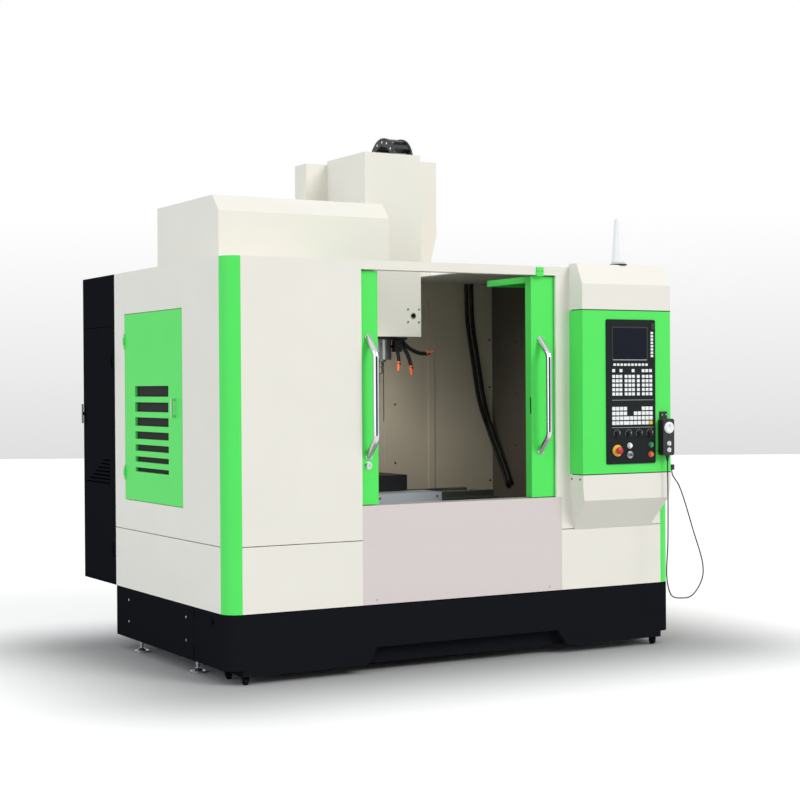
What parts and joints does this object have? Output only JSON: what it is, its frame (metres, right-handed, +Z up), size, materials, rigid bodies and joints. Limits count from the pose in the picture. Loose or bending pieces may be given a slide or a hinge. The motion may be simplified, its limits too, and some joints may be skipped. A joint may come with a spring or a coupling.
{
  "type": "machining center",
  "caption": "Vertical machining center with a green and cream enclosure, sliding doors, console with pendant, cross table, spindle head and tool magazine hood",
  "frame": {"origin": "middle of the box on the floor, the pendant's cord left out", "axes": "+X to the operator's right, +Y from the operator's side to the back, +Z up"},
  "size_m": [2.9255, 2.297, 2.911],
  "materials": {
    "cast_iron_grey": "painted casting with machined faces",
    "steel_bright": "ground steel",
    "paint_black": "satin powder coat",
    "foot_steel": "blackened steel",
    "paint_cream": "satin powder coat",
    "paint_green": "satin powder coat",
    "paint_grey": "satin powder coat",
    "motor_black": "satin paint",
    "drive_aluminium": "plain extrusions",
    "panel_dark": "moulded",
    "screen_glass": "flat display cover",
    "key_white": "moulded",
    "cord_black": "smooth jacket",
    "window_glass": "laminated pane",
    "handle_chrome": "bent tube",
    "stop_red": "moulded",
    "button_green": "moulded",
    "button_orange": "moulded"
  },
  "bodies": {
    "frame": {"base_casting": "cast_iron_grey", "column": "cast_iron_grey", "leveling_feet": "foot_steel", "axis_drives": "steel_bright", "side_skirts": "paint_black", "coolant_tank": "paint_black", "side_panels": "paint_cream", "front_panels": "paint_cream", "lower_guards": "paint_cream", "corner_strips": "paint_green", "header_beam": "paint_cream", "front_apron": "paint_grey", "rear_and_roof_panels": "paint_cream", "magazine_hood": "paint_cream", "work_area_liner": "paint_grey", "chip_tray": "paint_grey", "cable_duct": "paint_cream", "electrical_cabinet": "paint_black", "drive_rack": "drive_aluminium", "console_housing": "paint_cream", "console_box": "paint_green", "control_panel": "panel_dark", "panel_screen": "screen_glass", "panel_keys": "key_white", "tower_light": "key_white", "pendant_body": "panel_dark", "pendant_cord": "cord_black", "work_hoses": "cord_black"},
    "left_door": {"left_door": "paint_green", "left_window": "window_glass", "left_handle": "handle_chrome"},
    "right_door": {"right_door": "paint_green", "right_window": "window_glass", "right_handle": "handle_chrome"},
    "service_door": {"service_door": "paint_green"},
    "cabinet_door": {"cabinet_door": "paint_black"},
    "saddle": {"saddle": "cast_iron_grey", "way_cover": "paint_grey", "x_drive": "steel_bright"},
    "table": {"table": "cast_iron_grey"},
    "head": {"spindle_head": "cast_iron_grey", "head_cover": "paint_cream", "spindle_motor": "motor_black", "coolant_nozzles": "panel_dark", "cable_chain": "panel_dark"},
    "spindle": {"spindle": "steel_bright", "cutting_tool": "steel_bright"},
    "tool_magazine": {"tool_magazine": "steel_bright"},
    "e_stop_button": {"e_stop_button": "stop_red"},
    "cycle_start_button": {"cycle_start_button": "button_green"},
    "feed_hold_button": {"feed_hold_button": "button_orange"},
    "reset_button": {"reset_button": "key_white"},
    "key_switch": {"key_switch": "steel_bright"},
    "mode_knob": {"mode_knob": "panel_dark"},
    "feed_knob": {"feed_knob": "panel_dark"},
    "rapid_knob": {"rapid_knob": "panel_dark"},
    "spindle_knob": {"spindle_knob": "panel_dark"},
    "handwheel": {"handwheel": "key_white"},
    "axis_selector": {"axis_selector": "panel_dark"},
    "step_selector": {"step_selector": "panel_dark"}
  },
  "joints": [
    {"name": "left_door_slide", "type": "slide", "parent": "frame", "child": "left_door", "axis": [1, 0, 0], "range_m": [-0.025, 0.4985]},
    {"name": "right_door_slide", "type": "slide", "parent": "frame", "child": "right_door", "axis": [1, 0, 0], "range_m": [-0.4545, 0.044]},
    {"name": "service_door_hinge", "type": "hinge", "parent": "frame", "child": "service_door", "pos_m": [-1.377, 0.45, 1.374], "axis": [0, 0, 1], "range_deg": [-90, 0]},
    {"name": "cabinet_door_hinge", "type": "hinge", "parent": "frame", "child": "cabinet_door", "pos_m": [-1.377, 0.657, 1.1], "axis": [0, 0, 1], "range_deg": [0, 95]},
    {"name": "y_axis", "type": "slide", "parent": "frame", "child": "saddle", "axis": [0, 1, 0], "range_m": [-0.352, 0.148]},
    {"name": "x_axis", "type": "slide", "parent": "saddle", "child": "table", "axis": [1, 0, 0], "range_m": [0, 0.8]},
    {"name": "z_axis", "type": "slide", "parent": "frame", "child": "head", "axis": [0, 0, 1], "range_m": [-0.5, 0]},
    {"name": "spindle_turn", "type": "hinge", "parent": "head", "child": "spindle", "pos_m": [-0.007, -0.0365, 1.7], "axis": [0, 0, 1], "continuous": true},
    {"name": "magazine_turn", "type": "hinge", "parent": "frame", "child": "tool_magazine", "pos_m": [-0.681, -0.0315, 2.18], "axis": [0, 0, 1], "continuous": true},
    {"name": "e_stop_press", "type": "slide", "parent": "frame", "child": "e_stop_button", "axis": [0, 1, 0], "range_m": [0, 0.006]},
    {"name": "reset_press", "type": "slide", "parent": "frame", "child": "reset_button", "axis": [0, 1, 0], "range_m": [0, 0.004], "stiffness_N_per_m": 800},
    {"name": "cycle_start_press", "type": "slide", "parent": "frame", "child": "cycle_start_button", "axis": [0, 1, 0], "range_m": [0, 0.004], "stiffness_N_per_m": 800},
    {"name": "feed_hold_press", "type": "slide", "parent": "frame", "child": "feed_hold_button", "axis": [0, 1, 0], "range_m": [0, 0.004], "stiffness_N_per_m": 800},
    {"name": "key_turn", "type": "hinge", "parent": "frame", "child": "key_switch", "pos_m": [1.004, -1.0795, 1.093], "axis": [0, 1, 0], "range_deg": [0, 90]},
    {"name": "mode_knob_turn", "type": "hinge", "parent": "frame", "child": "mode_knob", "pos_m": [0.918, -1.0795, 1.21], "axis": [0, 1, 0], "range_deg": [-150, 150]},
    {"name": "feed_knob_turn", "type": "hinge", "parent": "frame", "child": "feed_knob", "pos_m": [0.997, -1.0795, 1.21], "axis": [0, 1, 0], "range_deg": [-150, 150]},
    {"name": "rapid_knob_turn", "type": "hinge", "parent": "frame", "child": "rapid_knob", "pos_m": [1.071, -1.0795, 1.21], "axis": [0, 1, 0], "range_deg": [-150, 150]},
    {"name": "spindle_knob_turn", "type": "hinge", "parent": "frame", "child": "spindle_knob", "pos_m": [1.144, -1.0795, 1.21], "axis": [0, 1, 0], "range_deg": [-150, 150]},
    {"name": "handwheel_turn", "type": "hinge", "parent": "frame", "child": "handwheel", "pos_m": [1.24, -1.1265, 1.24], "axis": [0, 1, 0], "continuous": true},
    {"name": "axis_selector_turn", "type": "hinge", "parent": "frame", "child": "axis_selector", "pos_m": [1.24, -1.1265, 1.152], "axis": [0, 1, 0], "range_deg": [-75, 75]},
    {"name": "step_selector_turn", "type": "hinge", "parent": "frame", "child": "step_selector", "pos_m": [1.24, -1.1265, 1.116], "axis": [0, 1, 0], "range_deg": [-60, 60]}
  ]
}
